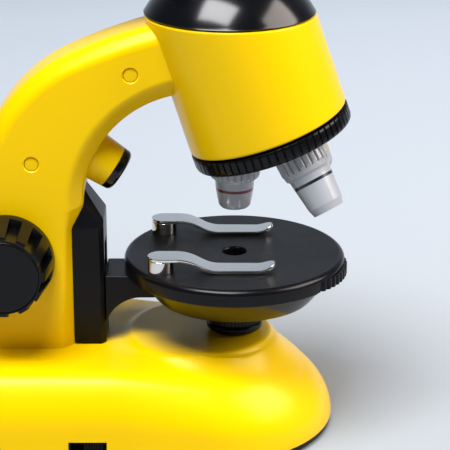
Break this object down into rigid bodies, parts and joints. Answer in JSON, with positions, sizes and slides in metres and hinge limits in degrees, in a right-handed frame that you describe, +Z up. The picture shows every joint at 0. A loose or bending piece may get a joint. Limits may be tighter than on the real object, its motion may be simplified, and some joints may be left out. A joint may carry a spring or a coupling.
{
  "type": "microscope",
  "caption": "Small compound microscope with a curved arm, broad base, lit round stage on a focus rack, tilted objective turret, turning dome head and inclined eyepiece.",
  "frame": {"origin": "on the desk under the middle of the whole outline", "axes": "+Z up, +X from the arm towards the front of the stage, +Y to the left of a user who faces the microscope from the front of its arm; the optical axis is vertical at x 0.029 m, y 0"},
  "size_m": [0.1298, 0.081, 0.2066],
  "materials": {
    "yellow": "satin gloss moulded plastic",
    "black_gloss": "high gloss",
    "black_satin": "satin",
    "stage_black": "fine grained",
    "rubber": "matte",
    "grey_plastic": "satin",
    "clip_metal": "polished",
    "steel": "plain",
    "brass": "plain",
    "nylon": "natural",
    "cell": "printed wrap",
    "board": "solder mask",
    "led_clear": "clear epoxy",
    "lens_glass": "clear",
    "mirror": "first surface",
    "filter_red": "coloured film",
    "wire_red": "insulation"
  },
  "bodies": {
    "root": {"base_shell": "yellow", "base_cover": "black_satin", "rubber_feet": "rubber", "battery_door": "black_satin", "battery_door_screw": "steel", "batteries": "cell", "battery_contacts": "steel", "base_screws": "steel", "switch_housing": "black_satin", "circuit_board": "board", "lamp_housing": "black_satin", "lamp_leds": "led_clear", "lamp_lenses": "lens_glass", "wiring": "wire_red", "arm_shell_right": "yellow", "arm_shell_left": "yellow", "arm_screws": "steel", "arm_screw_plugs": "yellow", "arm_foot_screws": "steel", "upper_lamp_housing": "yellow", "upper_lamp_bezel": "black_gloss", "rail_housing": "black_satin", "focus_bushes": "brass", "head_shell": "yellow", "head_base_plate": "black_satin", "head_bearing_ring": "nylon", "turret_pivot": "steel", "turret_detent_spring": "steel"},
    "stage": {"stage_plate": "stage_black", "stage_dish": "black_gloss", "stage_bracket": "black_satin", "stage_carriage": "black_satin", "focus_rack": "nylon", "stage_screws": "steel", "filter_wheel_pivot": "steel"},
    "right_clip": {"clip_post_right": "clip_metal", "clip_strap_right": "clip_metal"},
    "left_clip": {"clip_post_left": "clip_metal", "clip_strap_left": "clip_metal"},
    "filters": {"filter_wheel": "black_satin", "filter_discs": "filter_red"},
    "nosepiece": {"turret_ring": "black_gloss", "objective_low": "grey_plastic", "objective_mid": "grey_plastic", "objective_high": "grey_plastic", "objective_lenses": "lens_glass"},
    "head": {"head_dome": "black_gloss", "mirror_holder": "black_satin", "head_mirror": "mirror"},
    "eyepiece": {"eyepiece_barrel": "black_satin", "eyecup": "rubber", "eye_lens": "lens_glass", "field_lens": "lens_glass"},
    "focus_drive": {"focus_shaft": "steel", "focus_pinion": "nylon", "focus_knob_right": "black_gloss", "focus_knob_left": "black_gloss", "focus_knob_caps": "black_gloss"},
    "power_switch": {"switch_slider": "black_satin"}
  },
  "joints": [
    {"name": "stage_lift", "type": "slide", "parent": "root", "child": "stage", "axis": [0, 0, 1], "range_m": [-0.006, 0.009]},
    {"name": "focus_turn", "type": "hinge", "parent": "root", "child": "focus_drive", "pos_m": [-0.04186, 0, 0.0595], "axis": [0, 1, 0], "range_deg": [-87, 58.5]},
    {"name": "right_clip_swing", "type": "hinge", "parent": "stage", "child": "right_clip", "pos_m": [0.00624, -0.0175, 0.0575], "axis": [0, 0, -1], "range_deg": [-20, 90]},
    {"name": "left_clip_swing", "type": "hinge", "parent": "stage", "child": "left_clip", "pos_m": [0.00624, 0.0175, 0.0575], "axis": [0, 0, 1], "range_deg": [-20, 90]},
    {"name": "filter_turn", "type": "hinge", "parent": "stage", "child": "filters", "pos_m": [0.04131, -0.00399, 0.0539], "axis": [0, 0, 1], "continuous": true},
    {"name": "nosepiece_turn", "type": "hinge", "parent": "root", "child": "nosepiece", "pos_m": [0.02905, 0, 0.12817], "axis": [0.3338, 0, -0.9426], "continuous": true},
    {"name": "head_turn", "type": "hinge", "parent": "root", "child": "head", "pos_m": [0.02745, 0, 0.135], "axis": [0, 0, 1], "continuous": true},
    {"name": "eyepiece_slide", "type": "slide", "parent": "head", "child": "eyepiece", "axis": [-0.7071, 0, 0.7071], "range_m": [0, 0.025]},
    {"name": "switch_slide", "type": "slide", "parent": "root", "child": "power_switch", "axis": [1, 0, 0], "range_m": [-0.0036, 0]}
  ],
  "couplings": [
    {"joint": "focus_turn", "follows": "stage_lift", "rad_per_m": -166.67}
  ]
}
